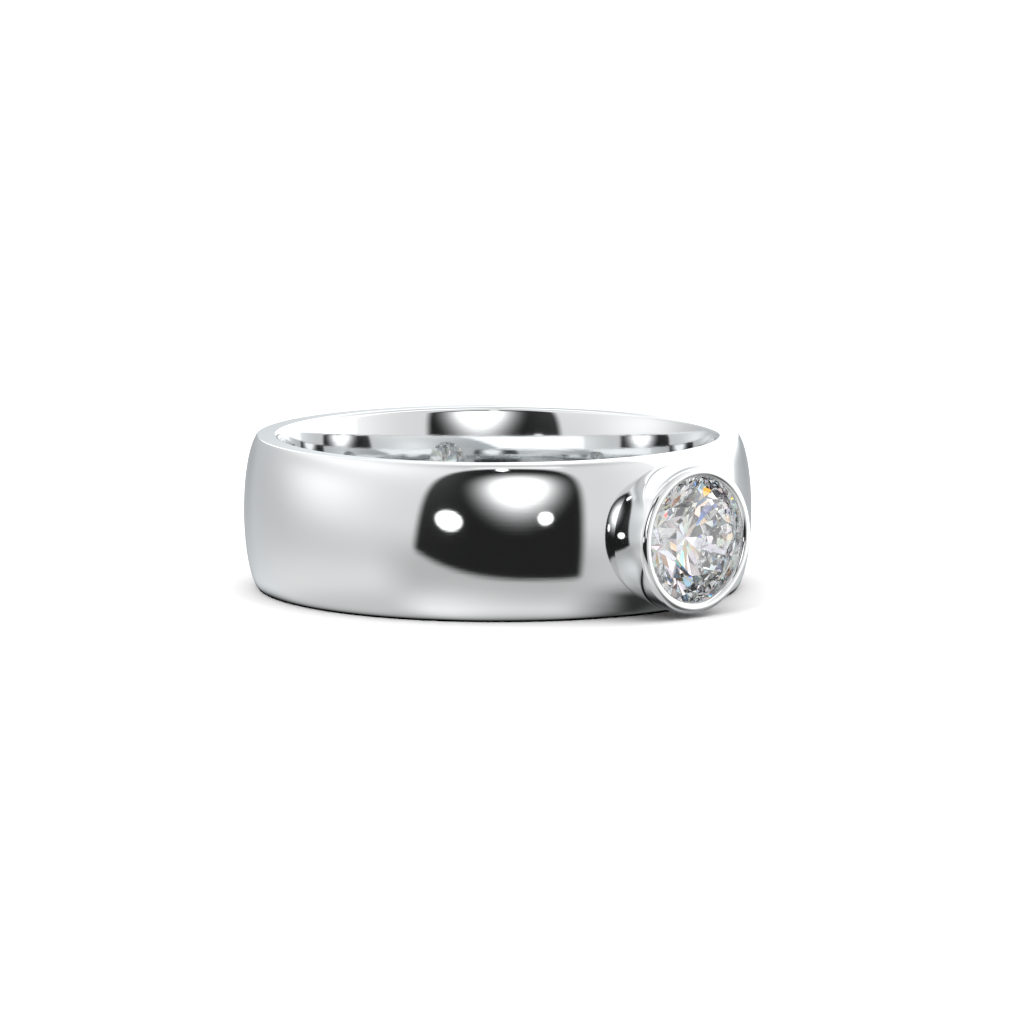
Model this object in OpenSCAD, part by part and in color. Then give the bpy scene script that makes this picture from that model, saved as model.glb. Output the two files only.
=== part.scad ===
// Bezel set ring, lying on its side as it rests on a table. Millimetres.
// The finger goes through along Z, the lower rim rests on z = 0, and the stone looks along -Y.

/* [Shank] */
// Inner diameter at the middle of the rounded inside
finger_d = 16.66; // [15:0.02:20]
// Thickness of metal at the middle of the width
shank_t = 1.67; // [1.3:0.01:2.2]
// Width of the shank along the finger
shank_w = 6; // [5.9:0.1:8]
// The domed outside is part of an oval: how deep that oval is
dome_depth = 0.74; // [0.5:0.01:0.9]
// How far the same oval would reach to each side along the finger
dome_reach = 3.13; // [3.1:0.01:3.3]
// How far round the oval the outside runs before its edge is rounded off, in degrees
dome_end_deg = 71.8; // [66:0.1:72]
// The rounded inside is part of a flatter oval: how deep that oval is
comfort_depth = 0.49; // [0.3:0.01:0.6]
// How far the same oval would reach to each side along the finger
comfort_reach = 3.35; // [3.3:0.01:3.6]
// How far round the oval the inside runs before its edge is rounded off, in degrees
comfort_end_deg = 57.2; // [50:0.1:60]

/* [Bezel] */
// Height of the bezel's rim above the shank's outside
bezel_rise = 1.46; // [1.2:0.02:1.8]
// Metal between the stone's girdle and the outside of the bezel
bezel_wall = 0.31; // [0.25:0.01:0.36]
// Radius of the bezel's bowed wall, which stands upright at the rim and narrows to the shank
bezel_bow_r = 8.2; // [6:0.1:20]
// How far the lip reaches in over the girdle
lip_cover = 0.1; // [0.05:0.01:0.16]
// Rounding of the rim towards the outside
rim_out_r = 0.235; // [0.1:0.005:0.25]
// Rounding of the rim towards the stone
rim_in_r = 0.17; // [0.05:0.01:0.2]
// Diameter of the open hole under the stone
window_d = 4.2; // [3.2:0.1:4.4]
// Gap left all round between the stone and the metal
stone_gap = 0.04; // [0.03:0.01:0.06]

/* [Stone] */
// Diameter across the girdle
stone_d = 5; // [4.8:0.05:5.1]
// Table width as a share of the diameter
table_share = 0.57; // [0.53:0.01:0.62]
// Slope of the crown's main facets in degrees
crown_deg = 34.5; // [31:0.5:36]
// Slope of the pavilion's main facets in degrees
pavilion_deg = 40.75; // [40:0.25:42]
// Thickness of the girdle as a share of the diameter
girdle_share = 0.02; // [0.01:0.005:0.04]
// Length of the star facets as a share of the crown's width
star_share = 0.5; // [0.4:0.05:0.6]
// Length of the lower girdle facets as a share of the radius
lower_share = 0.77; // [0.7:0.01:0.85]
// Height of the table above the bezel's rim
table_proud = 0.14; // [0:0.02:0.3]
// Turn of the stone in its seat, in degrees
stone_turn = 22.5; // [0:0.5:45]

/* [Hidden] */
$fn = 180;
arc_steps = 8;
face_steps = 14;

// Radii of the shank at the middle of its width
bore_r = finger_d / 2;
crown_r = bore_r + shank_t;
half_w = shank_w / 2;

// Slope of an oval's outline at an angle round it, measured from its middle, in degrees
function oval_slope(depth, reach, end_deg) = atan2(sin(end_deg) / reach, cos(end_deg) / depth);

// Each edge rounding takes over its oval's slope and ends level with the flat rim
dome_slope = oval_slope(dome_depth, dome_reach, dome_end_deg);
comfort_slope = oval_slope(comfort_depth, comfort_reach, comfort_end_deg);
dome_edge_r = (half_w - dome_reach * sin(dome_end_deg)) / (1 - sin(dome_slope));
comfort_edge_r = (half_w - comfort_reach * sin(comfort_end_deg)) / (1 - sin(comfort_slope));

// Where the flat rim begins and ends, measured from the finger axis
rim_out_x = crown_r - dome_depth * (1 - cos(dome_end_deg)) - dome_edge_r * cos(dome_slope);
rim_in_x = bore_r + comfort_depth * (1 - cos(comfort_end_deg)) + comfort_edge_r * cos(comfort_slope);

// Levels along the stone's axis, measured out from the finger axis
rim_z = crown_r + bezel_rise;
table_z = rim_z + table_proud;
foot_z = bore_r + 0.48 * shank_t;

// The stone's radii and heights
girdle_r = stone_d / 2;
table_r = girdle_r * table_share;
girdle_top_z = table_z - (girdle_r - table_r) * tan(crown_deg);
girdle_low_z = girdle_top_z - girdle_share * stone_d;
half_cos = cos(22.5);
star_r = table_r * half_cos + star_share * (girdle_r - table_r * half_cos);
star_z = girdle_top_z + (girdle_r - star_r * half_cos) * tan(crown_deg);
lower_r = girdle_r * (1 - lower_share);
lower_z = girdle_low_z - (girdle_r - lower_r * half_cos) * tan(pavilion_deg);
culet_z = girdle_low_z - girdle_r * tan(pavilion_deg);

// The seat follows the steepest lines of the crown and the pavilion, a gap away
pocket_r = girdle_r + stone_gap;
bezel_r = pocket_r + bezel_wall;
lip_r = girdle_r - lip_cover;
window_r = window_d / 2;
crown_rise = (star_z - girdle_top_z) / (girdle_r - star_r);
pavilion_drop = (girdle_low_z - lower_z) / (girdle_r - lower_r);
function lip_under_z(r) = girdle_top_z + 1.3 * stone_gap + (girdle_r - r) * crown_rise;
function seat_z(r) = girdle_low_z - 1.3 * stone_gap - (girdle_r - r) * pavilion_drop;

// Points of an arc about a centre, both ends included
function arc(centre, r, from_deg, to_deg, steps = arc_steps) =
    [for (i = [0:steps]) let (a = from_deg + (to_deg - from_deg) * i / steps)
        centre + r * [cos(a), sin(a)]];

// Points of a level ring about the stone's axis, one every turn_deg
function ring(r, z, count, start_deg = 0) =
    [for (i = [0:count - 1]) let (a = start_deg + stone_turn + i * 360 / count)
        [r * cos(a), r * sin(a), z]];

// Points of an oval out from its middle, without the two ends; depth < 0 bulges to the axis
function oval(middle_x, depth, reach, end_deg) =
    [for (i = [1:face_steps - 1]) let (a = end_deg * (2 * i / face_steps - 1))
        [middle_x - depth * (1 - cos(a)), reach * sin(a)]];

function backwards(points) = [for (i = [len(points) - 1:-1:0]) points[i]];

// Section of the shank: a dome outside, a gentler dome inside, a flat rim on each side
module shank_section() {
    upper_rim = concat(
        arc([rim_out_x, half_w - dome_edge_r], dome_edge_r, dome_slope, 90, 5),
        arc([rim_in_x, half_w - comfort_edge_r], comfort_edge_r, 90, 180 - comfort_slope, 6)
    );
    polygon([
        each oval(crown_r, dome_depth, dome_reach, dome_end_deg),
        each upper_rim,
        each backwards(oval(bore_r, -comfort_depth, comfort_reach, comfort_end_deg)),
        for (p = backwards(upper_rim)) [p.x, -p.y]
    ]);
}

// Turns a child that stands on +Z so that it stands on the stone's axis
module on_stone_axis() {
    translate([0, 0, half_w]) rotate([90, 0, 0]) children();
}

// The bezel's cup before it is bored: a bowed wall with a rounded rim
module bezel_blank() {
    shoulder_z = rim_z - rim_out_r;
    foot_deg = asin((shoulder_z - foot_z) / bezel_bow_r);
    wall = arc([bezel_r - bezel_bow_r, shoulder_z], bezel_bow_r, -foot_deg, 0, 8);
    rounding = arc([bezel_r - rim_out_r, shoulder_z], rim_out_r, 0, 90);
    rotate_extrude() polygon([
        [0, foot_z], each wall, for (i = [1:arc_steps]) rounding[i], [0, rim_z]
    ]);
}

// What is cut away for the stone: window, seat, girdle groove, and the lip's rounded mouth
module seat_cut() {
    mouth = arc([lip_r + rim_in_r, rim_z - rim_in_r], rim_in_r, 180, 90);
    rotate_extrude() polygon([
        [0, 0.8 * bore_r], [window_r, 0.8 * bore_r],
        [window_r, seat_z(window_r)], [pocket_r, seat_z(pocket_r)],
        [pocket_r, lip_under_z(pocket_r)], [lip_r, lip_under_z(lip_r)],
        each mouth, [lip_r + rim_in_r, rim_z + 1], [0, rim_z + 1]
    ]);
}

// Shank and bezel, soldered into one piece of metal
module shank_and_bezel() {
    color("silver") difference() {
        union() {
            translate([0, 0, half_w]) rotate_extrude() shank_section();
            on_stone_axis() bezel_blank();
        }
        on_stone_axis() seat_cut();
    }
}

// Round brilliant cut: table, stars, kites, girdle facets and pavilion down to a pointed culet
module brilliant_stone() {
    tables = ring(table_r, table_z, 8);
    stars = ring(star_r, star_z, 8, 22.5);
    tops = ring(girdle_r, girdle_top_z, 16);
    lows = ring(girdle_r, girdle_low_z, 16);
    lowers = ring(lower_r, lower_z, 8, 22.5);
    s0 = 8;
    t0 = 16;
    b0 = 32;
    l0 = 48;
    culet = 56;
    facets = [
        [for (k = [7:-1:0]) k],
        for (k = [0:7]) [k, (k + 1) % 8, s0 + k],
        for (k = [0:7]) [k, s0 + k, t0 + 2 * k, s0 + (k + 7) % 8],
        for (k = [0:7]) [s0 + k, t0 + 2 * k + 1, t0 + 2 * k],
        for (k = [0:7]) [s0 + k, t0 + (2 * k + 2) % 16, t0 + 2 * k + 1],
        for (j = [0:15]) [t0 + j, t0 + (j + 1) % 16, b0 + (j + 1) % 16, b0 + j],
        for (k = [0:7]) [b0 + 2 * k, b0 + 2 * k + 1, l0 + k],
        for (k = [0:7]) [b0 + 2 * k + 1, b0 + (2 * k + 2) % 16, l0 + k],
        for (k = [0:7]) [b0 + 2 * k, l0 + k, culet, l0 + (k + 7) % 8]
    ];
    color([0.86, 0.93, 0.98, 0.6]) on_stone_axis() polyhedron(
        [each tables, each stars, each tops, each lows, each lowers, [0, 0, culet_z]], facets
    );
}

shank_and_bezel();
brilliant_stone();
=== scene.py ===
"""A bezel set ring lying on its side: polished white gold round a brilliant cut diamond."""

import math

import bpy
import numpy as np
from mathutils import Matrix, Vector


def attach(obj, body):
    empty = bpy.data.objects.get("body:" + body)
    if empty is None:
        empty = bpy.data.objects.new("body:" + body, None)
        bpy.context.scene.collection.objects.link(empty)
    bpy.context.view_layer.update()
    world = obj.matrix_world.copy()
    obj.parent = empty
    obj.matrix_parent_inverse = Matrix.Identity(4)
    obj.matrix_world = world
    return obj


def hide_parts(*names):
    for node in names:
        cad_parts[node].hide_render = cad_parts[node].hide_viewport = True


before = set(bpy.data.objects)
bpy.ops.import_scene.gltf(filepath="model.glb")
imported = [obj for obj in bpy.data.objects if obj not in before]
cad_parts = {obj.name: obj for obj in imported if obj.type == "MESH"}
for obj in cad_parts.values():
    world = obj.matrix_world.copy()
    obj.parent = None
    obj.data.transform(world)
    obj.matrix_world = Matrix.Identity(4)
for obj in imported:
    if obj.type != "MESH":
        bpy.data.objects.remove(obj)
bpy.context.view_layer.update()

MM = 0.001

# How far under the ring's rim the floor lies, in millimetres, so that the two never coincide.
FLOOR_DROP = 0.01

# Sizes in millimetres and turns in radians, as in the part's source. Levels and radii of the
# bezel and the stone are measured from the finger axis along the stone's own axis.
SHANK = {
    "Finger diameter": 16.66,
    "Thickness": 1.67,
    "Width": 6.0,
    "Dome depth": 0.74,
    "Dome reach": 3.13,
    "Dome end": math.radians(71.8),
    "Comfort depth": 0.49,
    "Comfort reach": 3.35,
    "Comfort end": math.radians(57.2),
}
STONE = {
    "Girdle radius": 2.5,
    "Table share": 0.57,
    "Crown angle": math.radians(34.5),
    "Pavilion angle": math.radians(40.75),
    "Girdle share": 0.02,
    "Star share": 0.5,
    "Lower share": 0.77,
    "Table level": 11.6,
    "Turn": math.radians(22.5),
}
BEZEL = {
    "Outer radius": 2.85,
    "Bow radius": 8.2,
    "Rim level": 11.46,
    "Foot level": 9.13,
    "Outer rounding": 0.235,
    "Inner rounding": 0.17,
    "Lip radius": 2.4,
    "Window radius": 2.1,
    "Gap": 0.04,
}
EIGHTH = math.pi / 4

# How many times wider the gap is along the stone's axis than across it, as the facets there slope.
GAP_ALONG = 1.3

# How many faces each round stretch gets, and each solid all the way round.
FACES = {
    "dome": 44, "comfort fit": 32, "outer edge": 6, "inner edge": 9, "bezel wall": 24, "bezel rim": 14,
    "lip": 10, "round the finger": 360, "round the stone": 180, "round the girdle": 96,
}


class Wire:
    """A socket in a node tree. Sums, products and the like of wires add Math nodes."""

    def __init__(self, tree, socket=None):
        self.tree = tree
        self.socket = socket

    def feed(self, socket, value):
        """Links a wire to a socket, or sets a plain value there."""
        if isinstance(value, Wire):
            self.tree.links.new(value.socket, socket)
        else:
            socket.default_value = value

    def node(self, kind, settings=None, inputs=None, output=0):
        """Adds a node of a kind: its settings first, then the values or links of its sockets."""
        made = self.tree.nodes.new(kind)
        for name, value in (settings or {}).items():
            setattr(made, name, value)
        for name, value in (inputs or {}).items():
            for one in value if isinstance(value, list) else [value]:
                self.feed(made.inputs[name], one)
        return Wire(self.tree, made.outputs[output])

    def maths(self, operation, *others):
        """A Math node on this value and the others."""
        values = dict(enumerate((self, *others)))
        return self.node("ShaderNodeMath", {"operation": operation}, values)

    def __add__(self, other):
        return self.maths("ADD", other)

    def __sub__(self, other):
        return self.maths("SUBTRACT", other)

    def __rsub__(self, other):
        return self.node("ShaderNodeMath", {"operation": "SUBTRACT"}, {0: other, 1: self})

    def __mul__(self, other):
        return self.maths("MULTIPLY", other)

    def __truediv__(self, other):
        return self.maths("DIVIDE", other)

    def __rtruediv__(self, other):
        return self.node("ShaderNodeMath", {"operation": "DIVIDE"}, {0: other, 1: self})

    def __pow__(self, other):
        return self.maths("POWER", other)

    def __neg__(self):
        return self.maths("MULTIPLY", -1.0)

    __radd__ = __add__
    __rmul__ = __mul__

    def sine(self):
        return self.maths("SINE")

    def cosine(self):
        return self.maths("COSINE")

    def tangent(self):
        return self.maths("TANGENT")

    def above(self, low, high):
        """0 below low, 1 above high, and a smooth step between them."""
        ends = {"Value": self, "From Min": low, "From Max": high}
        return self.node("ShaderNodeMapRange", {"interpolation_type": "SMOOTHSTEP"}, ends)

    def below(self, low, high):
        """1 below low, 0 above high, and a smooth step between them."""
        return 1.0 - self.above(low, high)

    def bell(self, middle, spread):
        """1 at the middle, falling to both sides as a bell."""
        away = (self - middle) / spread
        return (away * away * -0.5).maths("EXPONENT")

    def towards(self, other, share):
        """This value at share 0 and the other at share 1."""
        return self + (other - self) * share

    def xyz(self, x=0.0, y=0.0, z=0.0):
        """A vector of three values."""
        return self.node("ShaderNodeCombineXYZ", None, {0: x, 1: y, 2: z})

    def parts(self):
        """The three values of a vector."""
        split = self.node("ShaderNodeSeparateXYZ", None, {0: self})
        outputs = split.socket.node.outputs
        return [Wire(self.tree, outputs[i]) for i in range(3)]


def size_tree(name, sizes):
    """A Geometry Nodes tree with one named input for each size, and wires from them."""
    tree = bpy.data.node_groups.new(name, "GeometryNodeTree")
    for key in sizes:
        tree.interface.new_socket(key, in_out="INPUT", socket_type="NodeSocketFloat")
    tree.interface.new_socket("Geometry", in_out="OUTPUT", socket_type="NodeSocketGeometry")
    entry = tree.nodes.new("NodeGroupInput")
    return Wire(tree), {key: Wire(tree, entry.outputs[key]) for key in sizes}


def grown(name, sizes, geometry, material):
    """Ends a tree, evaluates it with its sizes, and returns the plain mesh as an object in metres."""
    tree = geometry.tree
    metres = moved(geometry, scale=(MM, MM, MM))
    real = metres.node("GeometryNodeRealizeInstances", None, {"Geometry": metres})
    dressed = real.node("GeometryNodeSetMaterial", None, {"Geometry": real, "Material": material})
    leave = tree.nodes.new("NodeGroupOutput")
    tree.links.new(dressed.socket, leave.inputs["Geometry"])
    seed = bpy.data.objects.new(name + ".seed", bpy.data.meshes.new(name + ".seed"))
    bpy.context.scene.collection.objects.link(seed)
    modifier = seed.modifiers.new(name, "NODES")
    modifier.node_group = tree
    for item in tree.interface.items_tree:
        if item.in_out == "INPUT":
            modifier[item.identifier] = float(sizes[item.name])
    graph = bpy.context.evaluated_depsgraph_get()
    mesh = bpy.data.meshes.new_from_object(seed.evaluated_get(graph), depsgraph=graph)
    mesh.name = name
    bpy.data.objects.remove(seed)
    piece = bpy.data.objects.new(name, mesh)
    bpy.context.scene.collection.objects.link(piece)
    return piece


def moved(solid, place=(0.0, 0.0, 0.0), turn=(0.0, 0.0, 0.0), scale=(1.0, 1.0, 1.0)):
    """Places, turns and scales a solid or a curve."""
    return solid.node("GeometryNodeTransform", None, {
        "Geometry": solid, "Translation": place, "Rotation": turn, "Scale": scale,
    })


def on_stone_axis(solid):
    """Stands a solid that points up Z on the stone's axis, which looks along -Y."""
    return moved(solid, (0.0, 0.0, SHANK["Width"] / 2), (math.pi / 2, 0.0, 0.0))


def joined(operation, first, others):
    """The union, difference or intersection of solids."""
    inputs = {"Mesh 1": first, "Mesh 2": others}
    if operation != "DIFFERENCE":
        inputs = {"Mesh 2": [first, *others]}
    settings = {"operation": operation, "solver": "MANIFOLD"}
    return first.node("GeometryNodeMeshBoolean", settings, inputs)


def kept_on_faces(solid, name, value):
    """Writes a vector on every face of a solid, for polish() to read."""
    return solid.node("GeometryNodeStoreNamedAttribute", {
        "data_type": "FLOAT_VECTOR", "domain": "FACE",
    }, {"Geometry": solid, "Name": name, "Value": value})


def arc(start, x, y, radius, turn, sweep, steps):
    """A rounded side of a section about (x, y), with the centre that its faces keep."""
    return oval(start, x, y, radius, radius, turn, sweep, steps)


def oval(start, x, y, depth, reach, turn, sweep, steps):
    """Part of an oval about (x, y). Its faces keep the centre and how flat the oval is."""
    bow = start.node("GeometryNodeCurveArc", {"mode": "RADIUS"}, {
        "Resolution": steps + 1, "Radius": reach, "Start Angle": turn, "Sweep Angle": sweep,
    })
    flatness = reach / depth
    squashed = moved(bow, start.xyz(x, y), scale=start.xyz(1.0 / flatness, 1.0, 1.0))
    return squashed, start.xyz(x, y, flatness * flatness)


def line(start, x0, y0, x1, y1):
    """A straight side of a section. Its faces keep no centre."""
    side = start.node("GeometryNodeCurvePrimitiveLine", None, {
        "Start": start.xyz(x0, y0), "End": start.xyz(x1, y1),
    })
    return side, start.xyz()


def turned(start, sides, steps, mark):
    """Turns a section, x out from the axis and y along it, into a closed solid about Z."""
    radius = 1.0
    path = start.node("GeometryNodeCurvePrimitiveCircle", None, {
        "Resolution": steps, "Radius": radius,
    })
    skins = []
    for curve, centre in sides:
        inset = moved(curve, (-radius, 0.0, 0.0))
        skin = start.node("GeometryNodeCurveToMesh", None, {"Curve": path, "Profile Curve": inset})
        skins.append(kept_on_faces(skin, "centre", centre))
    shell = start.node("GeometryNodeJoinGeometry", None, {"Geometry": skins})
    shell = shell.node("GeometryNodeMergeByDistance", None, {"Geometry": shell, "Distance": 1e-4})
    return moved(kept_on_faces(shell, "axis", mark), turn=(math.pi, 0.0, 0.0))


def edge_rounding(size, name):
    """The rounding that takes over from an oval and ends level with the rim."""
    depth, reach, end = size[name + " depth"], size[name + " reach"], size[name + " end"]
    across, along = end.cosine() / depth, end.sine() / reach
    slope = along.maths("ARCTAN2", across)
    radius = (size["Width"] / 2 - reach * end.sine()) / (1.0 - slope.sine())
    return slope, radius, depth * (1.0 - end.cosine()) + radius * slope.cosine()


def shank_sides(start, size):
    """The shank's section: dome, two edges, two rims, two finger edges, comfort fit."""
    bore = size["Finger diameter"] / 2
    crown = bore + size["Thickness"]
    half = size["Width"] / 2
    slope, edge, inset = edge_rounding(size, "Dome")
    inner_slope, inner_edge, inner_inset = edge_rounding(size, "Comfort")
    edge_x, inner_x = crown - inset, bore + inner_inset
    dome, comfort = size["Dome depth"], size["Comfort depth"]
    dome_end, comfort_end = size["Dome end"], size["Comfort end"]
    right = math.pi / 2
    sweep, inner_sweep = right - slope, right - inner_slope
    steps, inner_steps = FACES["outer edge"], FACES["inner edge"]
    return [
        oval(start, crown - dome, 0.0, dome, size["Dome reach"], -dome_end, dome_end * 2.0, FACES["dome"]),
        arc(start, edge_x, half - edge, edge, slope, sweep, steps),
        line(start, edge_x, half, inner_x, half),
        arc(start, inner_x, half - inner_edge, inner_edge, right, inner_sweep, inner_steps),
        oval(start, bore + comfort, 0.0, comfort, size["Comfort reach"],
             math.pi - comfort_end, comfort_end * 2.0, FACES["comfort fit"]),
        arc(start, inner_x, inner_edge - half, inner_edge, inner_slope + math.pi, inner_sweep, inner_steps),
        line(start, inner_x, -half, edge_x, -half),
        arc(start, edge_x, edge - half, edge, 3 * right, sweep, steps),
    ]


def cup_sides(start, size):
    """The bezel before it is bored: foot, bowed wall, rounded rim."""
    bow, rounding = size["Bow radius"], size["Outer rounding"]
    rim, foot = size["Rim level"], size["Foot level"]
    x, y = size["Outer radius"] - rounding, rim - rounding
    lean = ((y - foot) / bow).maths("ARCSINE")
    bow_x = size["Outer radius"] - bow
    return [
        line(start, 0.0, foot, bow_x + bow * lean.cosine(), foot),
        arc(start, bow_x, y, bow, -lean, lean, FACES["bezel wall"]),
        arc(start, x, y, rounding, 0.0, math.pi / 2, FACES["bezel rim"]),
        line(start, x, rim, 0.0, rim),
    ]


def stone_levels(size, tangent):
    """Radii and levels of the stone's corners, from numbers or from wires."""
    girdle = size["Girdle radius"]
    table = girdle * size["Table share"]
    rise, drop = tangent(size["Crown angle"]), tangent(size["Pavilion angle"])
    half_cosine = math.cos(EIGHTH / 2)
    top = size["Table level"] - (girdle - table) * rise
    low = top - size["Girdle share"] * girdle * 2
    star = table * half_cosine + size["Star share"] * (girdle - table * half_cosine)
    lower = girdle * (1.0 - size["Lower share"])
    return {
        "girdle": girdle, "table": table, "top": top, "low": low, "star": star, "lower": lower,
        "star_level": top + (girdle - star * half_cosine) * rise,
        "lower_level": low - (girdle - lower * half_cosine) * drop,
        "rise": rise, "drop": drop,
    }


def seat_sides(start, size):
    """What is cut out for the stone: window, seat, groove round the girdle, rounded mouth."""
    at = stone_levels(STONE, math.tan)
    window, lip = size["Window radius"], size["Lip radius"]
    rounding, rim = size["Inner rounding"], size["Rim level"]
    girdle, pocket = at["girdle"], size["Gap"] + at["girdle"]
    level_gap = size["Gap"] * GAP_ALONG
    crown_rise = (at["star_level"] - at["top"]) / (girdle - at["star"])
    pavilion_drop = (at["low"] - at["lower_level"]) / (girdle - at["lower"])

    def over(radius):
        return level_gap + at["top"] + (girdle - radius) * crown_rise

    def under(radius):
        return at["low"] - level_gap - (girdle - radius) * pavilion_drop

    # The cut runs from well inside the finger hole to above the bezel's rim
    low, high = rim * 0.6, rim * 1.1
    return [
        line(start, 0.0, low, window, low),
        line(start, window, low, window, under(window)),
        line(start, window, under(window), pocket, under(pocket)),
        line(start, pocket, under(pocket), pocket, over(pocket)),
        line(start, pocket, over(pocket), lip, over(lip)),
        line(start, lip, over(lip), lip, rim - rounding),
        arc(start, lip + rounding, rim - rounding, rounding, math.pi, -math.pi / 2, FACES["lip"]),
        line(start, lip + rounding, rim, lip + rounding, high),
        line(start, lip + rounding, high, 0.0, high),
    ]


def polish(piece):
    """Gives each face corner the normal of the true turned surface, so reflections run smooth."""
    mesh = piece.data

    def read(source, key, size):
        values = np.empty(size * len(source), np.float32)
        source.foreach_get(key, values)
        return values.reshape(-1, size).astype(float)

    points = read(mesh.vertices, "co", 3) / MM
    which = read(mesh.loops, "vertex_index", 1).astype(int).ravel()
    middles = read(mesh.polygons, "center", 3) / MM
    facing = read(mesh.polygons, "normal", 3)
    sizes = read(mesh.polygons, "loop_total", 1).astype(int).ravel()
    face_of = np.repeat(np.arange(len(sizes)), sizes)
    centre = read(mesh.attributes["centre"].data, "vector", 3)
    stone_side = read(mesh.attributes["axis"].data, "vector", 3)[:, 0] > 0.5
    middle_level = SHANK["Width"] / 2

    def out_and_along(spots, on_stone):
        """The unit vectors out from the axis and along it, and how far each spot lies along them."""
        flat = spots - np.array([0.0, 0.0, middle_level])
        along = np.where(on_stone[:, None], [0.0, -1.0, 0.0], [0.0, 0.0, 1.0])
        y = (flat * along).sum(1)
        out = flat - y[:, None] * along
        x = np.linalg.norm(out, axis=1)
        return out / np.maximum(x, 1e-9)[:, None], along, x, y

    face_out, along, _, _ = out_and_along(middles, stone_side)
    slope = np.stack([(facing * face_out).sum(1), (facing * along).sum(1)], 1)
    corner_out, along, x, y = out_and_along(points[which], stone_side[face_of])
    flatness = centre[face_of, 2:]
    bow = np.stack([x, y], 1) - centre[face_of, :2]
    bow[:, :1] *= np.maximum(flatness, 1.0)
    section = np.where(flatness > 0.5, bow, slope[face_of])
    section /= np.linalg.norm(section, axis=1, keepdims=True)
    normals = section[:, :1] * corner_out + section[:, 1:] * along
    mesh.shade_smooth()
    mesh.normals_split_custom_set(normals.tolist())
    for name in ("centre", "axis"):
        mesh.attributes.remove(mesh.attributes[name])


def ring_metal(material):
    """Shank and bezel, soldered into one, bored out for the stone."""
    start, size = size_tree("ring_metal", SHANK | BEZEL)
    # Marks for polish(), which reads 1 in x on the faces that turn about the stone's axis
    about_finger, about_stone = (0.0, 0.0, 0.0), (1.0, 0.0, 0.0)
    shank = turned(start, shank_sides(start, size), FACES["round the finger"], about_finger)
    shank = moved(shank, start.xyz(0.0, 0.0, size["Width"] / 2))
    cup = on_stone_axis(turned(start, cup_sides(start, size), FACES["round the stone"], about_stone))
    seat = on_stone_axis(turned(start, seat_sides(start, size), FACES["round the stone"], about_stone))
    soldered = joined("UNION", shank, [cup])
    bored = joined("DIFFERENCE", soldered, [seat])
    piece = grown("ring_metal", SHANK | BEZEL, bored, material)
    polish(piece)
    return piece


def tier(start, sides, turn, slope, radius, level, upwards):
    """A pyramid of cut facets. Each passes through (radius, level) and slopes to the apex."""
    flat = math.cos(math.pi / sides)
    # How far out the pyramid's foot lies, well past the girdle
    reach = 20.0
    cone = start.node("GeometryNodeMeshCone", {"fill_type": "TRIANGLE_FAN"}, {
        "Vertices": sides, "Radius Top": 0.0, "Radius Bottom": reach / flat,
        "Depth": slope * reach,
    })
    drop = slope * (reach - radius)
    base, flip = (level - drop, 0.0) if upwards else (level + drop, math.pi)
    return moved(cone, start.xyz(0.0, 0.0, base), start.xyz(flip, 0.0, turn))


def diamond(material):
    """A brilliant cut: each tier of facets is a pyramid, and the stone is what all of them share."""
    start, size = size_tree("round_diamond", STONE)
    at = stone_levels(size, Wire.tangent)
    turn = size["Turn"]
    half, quarter = math.cos(EIGHTH / 2), math.cos(EIGHTH / 4)
    star_rise = (size["Table level"] - at["star_level"]) / (at["star"] - at["table"] * half)
    upper_rise = (at["star_level"] - at["top"]) / ((at["girdle"] - at["star"]) * quarter)
    lower_drop = (at["low"] - at["lower_level"]) / ((at["girdle"] - at["lower"]) * quarter)
    mains, halves = 8, 16
    main_turn = turn + EIGHTH / 2
    crown = tier(start, mains, main_turn, at["rise"], at["girdle"], at["top"], True)
    stars = tier(start, mains, turn, star_rise, at["star"], at["star_level"], True)
    upper = tier(start, halves, turn, upper_rise, at["girdle"] * quarter, at["top"], True)
    pavilion = tier(start, mains, main_turn, at["drop"], at["girdle"], at["low"], False)
    lower = tier(start, halves, turn, lower_drop, at["girdle"] * quarter, at["low"], False)
    height = 4.0
    rough = start.node("GeometryNodeMeshCylinder", {"fill_type": "TRIANGLE_FAN"}, {
        "Vertices": FACES["round the girdle"], "Radius": at["girdle"], "Depth": height,
    })
    rough = moved(rough, start.xyz(0.0, 0.0, size["Table level"] - height / 2), start.xyz(0.0, 0.0, turn))
    cut = joined("INTERSECT", rough, [crown, stars, upper, pavilion, lower])
    return grown("round_diamond", STONE, on_stone_axis(cut), material)


def shader_tree(data):
    """Clears a material's or world's nodes and returns a wire to start from."""
    data.use_nodes = True
    data.node_tree.nodes.clear()
    return Wire(data.node_tree)


def output(start, kind, shader):
    """Ends a tree with an output node for its surface."""
    leave = start.tree.nodes.new(kind)
    start.tree.links.new(shader.socket, leave.inputs["Surface"])


def object_place(start):
    """Where a point lies in its own object, in metres."""
    return start.node("ShaderNodeTexCoord", output="Object")


def grain(place, scale, detail=2.0, stretch=(1.0, 1.0, 1.0)):
    """A soft random pattern from 0 to 1 in object coordinates, its scale per metre."""
    spread = place.node("ShaderNodeVectorMath", {"operation": "MULTIPLY"}, {0: place, 1: stretch})
    return place.node("ShaderNodeTexNoise", {"noise_dimensions": "3D"}, {
        "Vector": spread, "Scale": scale, "Detail": detail, "Roughness": 0.5,
    })


def tint(share, first, second):
    """A colour between two, by a share. Inputs 6 and 7 and output 2 are the node's colours."""
    return share.node("ShaderNodeMix", {"data_type": "RGBA"}, {
        0: share, 6: (*first, 1.0), 7: (*second, 1.0),
    }, output=2)


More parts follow.
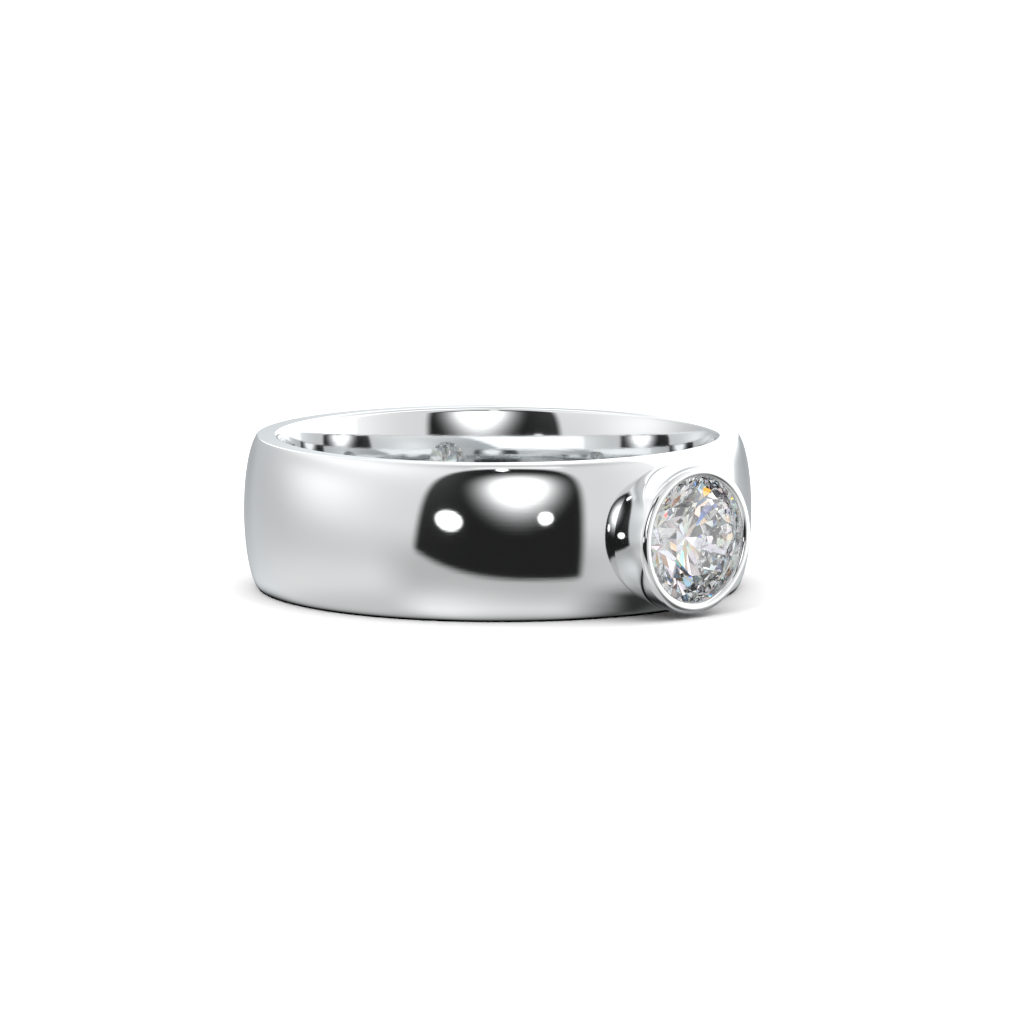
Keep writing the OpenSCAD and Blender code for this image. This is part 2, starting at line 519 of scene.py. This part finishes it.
def white_gold():
    """Rhodium-bright white gold: a mirror with the last faint trace of the polishing wheel."""
    material = bpy.data.materials.new("polished_white_gold")
    start = shader_tree(material)
    place = object_place(start)
    cloud = grain(place, scale=260.0)
    wheel = grain(place, scale=900.0, detail=3.0, stretch=(1.0, 1.0, 12.0))
    darker, lighter = (0.775, 0.79, 0.797), (0.80, 0.812, 0.817)
    colour = tint(cloud, darker, lighter)
    roughness = 0.035 + cloud * 0.02 + wheel * 0.012
    relief = start.node("ShaderNodeBump", None, {
        "Strength": 0.02, "Distance": 0.00002, "Height": wheel,
    })
    shader = start.node("ShaderNodeBsdfPrincipled", None, {
        "Base Color": colour, "Metallic": 1.0, "Roughness": roughness, "Normal": relief,
    })
    output(start, "ShaderNodeOutputMaterial", shader)
    return material


def diamond_glass():
    """Colourless diamond: clear, high index, with the faintest warm and cool growth zones."""
    material = bpy.data.materials.new("clear_diamond")
    start = shader_tree(material)
    zones = grain(object_place(start), scale=700.0)
    cool, warm = (0.995, 0.998, 1.0), (1.0, 1.0, 0.996)
    shader = start.node("ShaderNodeBsdfPrincipled", None, {
        "Base Color": tint(zones, cool, warm),
        "Roughness": 0.0, "IOR": 2.417, "Transmission Weight": 1.0,
    })
    output(start, "ShaderNodeOutputMaterial", shader)
    return material


# The camera's bearing and rise from the ring, how far away it stands, and how far right of the
# finger axis and above the floor it looks, in millimetres.
CAMERA_BEARING = math.radians(-41.8)
CAMERA_RISE = math.radians(8.74)
CAMERA_AWAY = 221.4
AIM_RIGHT, AIM_UP = 0.564, 2.873
UPWARDS = Vector((0.0, 0.0, 1.0))
RIGHTWARDS = Vector((math.cos(CAMERA_BEARING), math.sin(CAMERA_BEARING), 0.0))
TOWARDS = Vector((math.sin(CAMERA_BEARING), -math.cos(CAMERA_BEARING), 0.0))

# The studio is described by azimuth and elevation in degrees, as seen from the ring. Azimuth 0 lies
# this far to the left of the camera's bearing, and azimuths grow to the right. A part of the studio
# is a share from 0 to 1 where it lies, and its last factor is how much light it adds or takes.
STUDIO_TURN = 0.3

# The soft light on the floor, and what the black panel still gives.
LIGHT = 1.94
BLACK = 0.019

# How far apart in azimuth the stone bends red, green and blue light, in degrees.
FIRE = 2.0

# The lamps on the black panel and their light.
LAMPS = (
    {"middle_az": -21.5, "middle_el": 0.25, "wide": 5.9, "high": 3.75, "lean": 0.09},
    {"middle_az": 21.6, "middle_el": 1.0, "wide": 3.4, "high": 2.5},
    {"middle_az": 2.7, "middle_el": 45.0, "wide": 3.4, "high": 4.6},
)
LAMP_LIGHT = 2.4


def bearing_and_rise(direction):
    """Azimuth and elevation in degrees of a direction."""

    def reach(axis):
        """How far the direction goes along an axis."""
        return direction.node("ShaderNodeVectorMath", {"operation": "DOT_PRODUCT"}, {
            0: direction, 1: tuple(axis),
        }, output=1)

    right, ahead = reach(RIGHTWARDS), reach(TOWARDS)
    up = direction.parts()[2]
    level = (right * right + ahead * ahead) ** 0.5
    az = right.maths("ARCTAN2", ahead) * math.degrees(1.0) + STUDIO_TURN
    return az, up.maths("ARCTAN2", level) * math.degrees(1.0)


def lamp(az, el, middle_az, middle_el, wide, high, lean=0.0):
    """A round lamp with a soft edge."""
    across = (az - middle_az) / wide
    up = (el - middle_el + (az - middle_az) * lean) / high
    return (across * across + up * up).below(0.6, 1.4)


def dark_panel_glow(az, el):
    """What shows on the black panel in front: a broad soft light, a faint one and three lamps."""
    across, up = (az - 10.1) / 19.3, (el - 17.3) / 15.9
    away = (across * across + up * up) ** 0.5
    edge, fade, brightest = 1.49, 0.914, 1.8
    broad = (((edge - away) / fade).maths("MAXIMUM", 0.0) ** 2.42) * 1.69
    faint = az.bell(-32.0, 10.0) * el.bell(35.0, 18.0) * 0.062
    lamps = sum(lamp(az, el, **place) for place in LAMPS)
    return broad.maths("MINIMUM", brightest) + faint + lamps * LAMP_LIGHT + BLACK


def dark_panel(az, el):
    """1 inside the black panel in front: a leaning left side, a rounded top, a shallow foot."""
    middle, right_reach, left_reach, height = -0.9, 40.0, 34.6, 48.2
    left_lean = el * 0.225
    right, left = (az - middle) / right_reach, (left_lean - az + middle) / left_reach
    across = right.maths("MAXIMUM", left)
    up = el.maths("MAXIMUM", 0.0) / height
    arch = (across ** 3.0 + up ** 3.0).below(0.8, 1.2)
    foot_middle, foot_reach, foot_rise, foot_el, soft = 18.4, 48.0, 7.7, -21.5, 2.0
    bow = (az - foot_middle).maths("ABSOLUTE") / foot_reach
    foot = bow ** 2.4 * foot_rise + foot_el
    return arch * el.above(foot - soft, foot + soft)


def raised_at_right(az, el):
    """Elevation above the foot of the walls, which reach lower down to the right."""
    return el + az.above(60.0, 84.0) * az.below(126.0, 142.0) * 12.0 - az.above(130.0, 150.0) * 3.0


def room_walls(az, el):
    """The pale room above the horizon: gray to the left, two windows there, white to the right."""
    lifted = raised_at_right(az, el)
    from_front = az.maths("ABSOLUTE")
    top = el.above(50.0, 66.0) * 0.055
    gray_side = az.below(-120.0, -60.0) * el.below(20.0, 40.0) * 0.223
    low_window = az.bell(-89.3, 18.6) * el.bell(6.9, 7.3) * 0.438
    high_window = az.bell(-97.0, 47.8) * el.bell(35.6, 12.2) * 0.502
    white_side = az.above(46.0, 112.0) * lifted.above(-6.0, 6.0) * 0.5
    white_board = az.above(82.5, 84.5) * lifted.above(-1.0, 4.0) * 0.4
    dim_foot = az.above(134.0, 148.0) * el.below(0.0, 4.5) * 0.28
    seam_el = 56.2 - (az + 1.0) * (az + 1.0) * 0.002
    dark_seam = el.bell(seam_el, 4.8) * az.above(-67.0, -4.0) * az.below(58.0, 106.0) * 0.24
    light_seam = el.bell(seam_el - 5.0, 3.2) * az.above(-20.0, -6.0) * az.below(34.0, 43.0) * 0.5
    walls = 0.85 + top - gray_side + low_window + high_window
    walls = walls + white_side + white_board - dim_foot - dark_seam + light_seam
    bright_back = (from_front + (el - 7.0) * 2.0).above(175.3, 184.0) * el.above(0.0, 6.0)
    plain_top = from_front.above(80.0, 120.0) * el.above(20.0, 66.0)
    return walls.towards(1.7, bright_back).towards(0.75, plain_top)


def room_floor(az, el):
    """The room's floor as the metal mirrors it: bright in front, with painted shade right under the ring,
    painted shadow beside the bezel and painted shade behind the ring.
    """
    near = el.below(-45.0, -23.0) * 0.27
    pool = az.bell(-30.0, 19.5) * el.below(-34.0, -18.0) * 0.22
    # Painted shade: the floor right under the ring is darker, as the metal mirrors it
    shade_underfoot = el.below(-70.0, -40.0) * 0.3
    front = (0.58 + near + pool) * (1.0 - shade_underfoot)
    left_pool = az.below(-30.0, 0.0) * el.bell(-20.4, 6.6) * 0.18
    ground = front.towards(0.68 + left_pool, (az + 4.2).maths("ABSOLUTE").above(30.0, 59.0))
    # Painted shadow: the bezel's shadow on the floor, dark beside the bezel, as the metal mirrors it
    edge = az + (el + 40.0).maths("MINIMUM", 0.0) * 0.6
    bezel_shadow = edge.above(32.0, 76.0) * el.below(-30.0, -20.0) * el.above(-78.0, -50.0)
    depth = 0.82 - az.above(80.0, 104.0) * 0.36
    # Painted shade: the ring's shade on the floor behind it, as the metal mirrors it
    behind = az.below(-165.0, -120.0) * (el + (az + 145.0) * 0.3).below(-28.0, -17.0) * 0.92
    return ground * (1.0 - bezel_shadow * depth) * (1.0 - behind)


def surroundings(az, el):
    """The pale room round the ring, without the black panel. Its two sides meet behind the ring."""
    share = raised_at_right(az, el).above(-15.8, -0.9)
    room = room_floor(az, el).towards(room_walls(az, el), share)
    from_front = az.maths("ABSOLUTE")
    horizon = from_front.above(142.0, 160.0) * el.bell(-4.0, 5.0) * 0.22
    meeting = 0.3 + el.above(-30.0, -10.0) * 0.18
    return (room * (1.0 - horizon)).towards(meeting, from_front.above(159.0, 178.0) * el.below(3.0, 8.0))


def studio(az, el):
    """All that the ring mirrors: the room, and the black panel in front of it."""
    return surroundings(az, el).towards(dark_panel_glow(az, el), dark_panel(az, el))


def cooled(level, az):
    """The studio's light as a colour: neutral in front, its grays a little blue behind the ring."""
    red_lost, green_lost = 0.075, 0.03
    cool = az.maths("ABSOLUTE").above(110.0, 170.0) * level.below(0.9, 1.5)
    return level.xyz(level * (1.0 - cool * red_lost), level * (1.0 - cool * green_lost), level)


def fire(az, el, side):
    """Red, green or blue light that comes through the stone: each bends a little differently."""
    bend = FIRE * side
    passed = 0.79 + (az * 0.11 + el * 0.17 + side * 2.1).sine() * 0.07
    return studio(az + bend, el + bend * 0.5) * passed


def build_world():
    """Soft light, less where the black panel stands; the studio for mirror rays; fire for the stone."""
    world = bpy.data.worlds.new("studio")
    bpy.context.scene.world = world
    start = shader_tree(world)
    az, el = bearing_and_rise(start.node("ShaderNodeTexCoord", output="Generated"))
    through_stone = start.xyz(*(fire(az, el, side) for side in (-1, 0, 1)))
    diffuse = start.node("ShaderNodeLightPath", output="Is Diffuse Ray")
    panel_shade = 0.9
    soft = LIGHT * (1.0 - dark_panel(az, el) * diffuse * panel_shade)
    colours = [start.xyz(soft, soft, soft), cooled(studio(az, el), az), through_stone]
    plain, mirrored, refracted = [
        start.node("ShaderNodeBackground", None, {"Color": colour, "Strength": 1.0}) for colour in colours
    ]
    shine = start.node("ShaderNodeLightPath", output="Is Glossy Ray")
    through = start.node("ShaderNodeLightPath", output="Is Transmission Ray")
    room = start.node("ShaderNodeMixShader", None, {0: shine, 1: plain, 2: mirrored})
    room = start.node("ShaderNodeMixShader", None, {0: through, 1: room, 2: refracted})
    output(start, "ShaderNodeOutputWorld", room)
    world.cycles.sampling_method = "NONE"


def floor_circle(radius, sides):
    """Points in metres round a circle that lies just under the ring, its radius in millimetres."""
    turns = [2 * math.pi * k / sides for k in range(sides)]
    return [(radius * MM * math.cos(a), radius * MM * math.sin(a), -FLOOR_DROP * MM) for a in turns]


def flat_piece(name, points, faces, material, hidden_from):
    """A flat object of one material, which some kinds of rays pass by."""
    mesh = bpy.data.meshes.new(name)
    mesh.from_pydata(points, [], faces)
    mesh.materials.append(material)
    piece = bpy.data.objects.new(name, mesh)
    bpy.context.scene.collection.objects.link(piece)
    for rays in hidden_from:
        setattr(piece, "visible_" + rays, False)
    return piece


def build_floor():
    """A pale floor, seen by the camera and the soft light. The metal mirrors the studio's own."""
    material = bpy.data.materials.new("pale_floor")
    start = shader_tree(material)
    pale = start.node("ShaderNodeBsdfDiffuse", None, {"Color": (0.92, 0.92, 0.92, 1.0)})
    output(start, "ShaderNodeOutputMaterial", pale)
    radius, sides = 1500.0, 64
    points = floor_circle(radius, sides)
    floor = flat_piece("floor", points, [list(range(sides))], material, ("glossy", "transmission"))


def build_contact_shade():
    """Painted shadow of the ring on the floor: dark close round the ring's foot and under its bezel, as
    only the metal mirrors it.
    """
    material = bpy.data.materials.new("contact_shade")
    start = shader_tree(material)
    x, y, _ = object_place(start).parts()
    radius = (x * x + y * y) ** 0.5 / MM
    foot_radius, foot_fade = 9.53, 0.11
    foot = ((foot_radius - radius) / foot_fade).maths("MINIMUM", 0.0).maths("EXPONENT")
    aside, out = (x / MM).maths("ABSOLUTE"), y / -MM
    under_bezel = aside.below(1.2, 2.6) * out.above(9.0, 9.4) * out.below(10.7, 11.6) * 0.7
    dark = foot.maths("MAXIMUM", under_bezel)
    clear = start.node("ShaderNodeBsdfTransparent")
    black = start.node("ShaderNodeBsdfDiffuse", None, {"Color": (0.0, 0.0, 0.0, 1.0)})
    mixed = start.node("ShaderNodeMixShader", None, {0: dark, 1: clear, 2: black})
    output(start, "ShaderNodeOutputMaterial", mixed)
    inner, outer, sides = 9.3, 11.8, 256
    points = floor_circle(inner, sides) + floor_circle(outer, sides)
    faces = [[k, sides + k, sides + (k + 1) % sides, (k + 1) % sides] for k in range(sides)]
    hidden_from = ("camera", "diffuse", "transmission", "shadow")
    shade = flat_piece("contact_shade", points, faces, material, hidden_from)


def build_camera():
    """The photograph's camera: a long lens, low and to the left of the stone."""
    data = bpy.data.cameras.new("camera")
    data.lens, data.sensor_width = 197.0, 36.0
    data.clip_start, data.clip_end = 0.01, 10.0
    camera = bpy.data.objects.new("camera", data)
    bpy.context.scene.collection.objects.link(camera)
    eye = (TOWARDS * math.cos(CAMERA_RISE) + UPWARDS * math.sin(CAMERA_RISE)) * CAMERA_AWAY * MM
    aim = (RIGHTWARDS * AIM_RIGHT + UPWARDS * AIM_UP) * MM
    camera.location = eye
    camera.rotation_euler = (aim - eye).to_track_quat("-Z", "Y").to_euler()
    bpy.context.scene.camera = camera


metal = ring_metal(white_gold())
stone = diamond(diamond_glass())
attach(metal, "root")
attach(stone, "root")
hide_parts("shank_and_bezel")
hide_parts("brilliant_stone")

build_world()
build_floor()
build_contact_shade()
build_camera()

scene = bpy.context.scene
scene.view_settings.view_transform = "Standard"

# Enough bounces for light to find its way out of the stone and between the metal's walls.
scene.cycles.max_bounces = 32
scene.cycles.glossy_bounces = 12
scene.cycles.transmission_bounces = 32
scene.cycles.blur_glossy = 0.0
scene.cycles.caustics_reflective = False
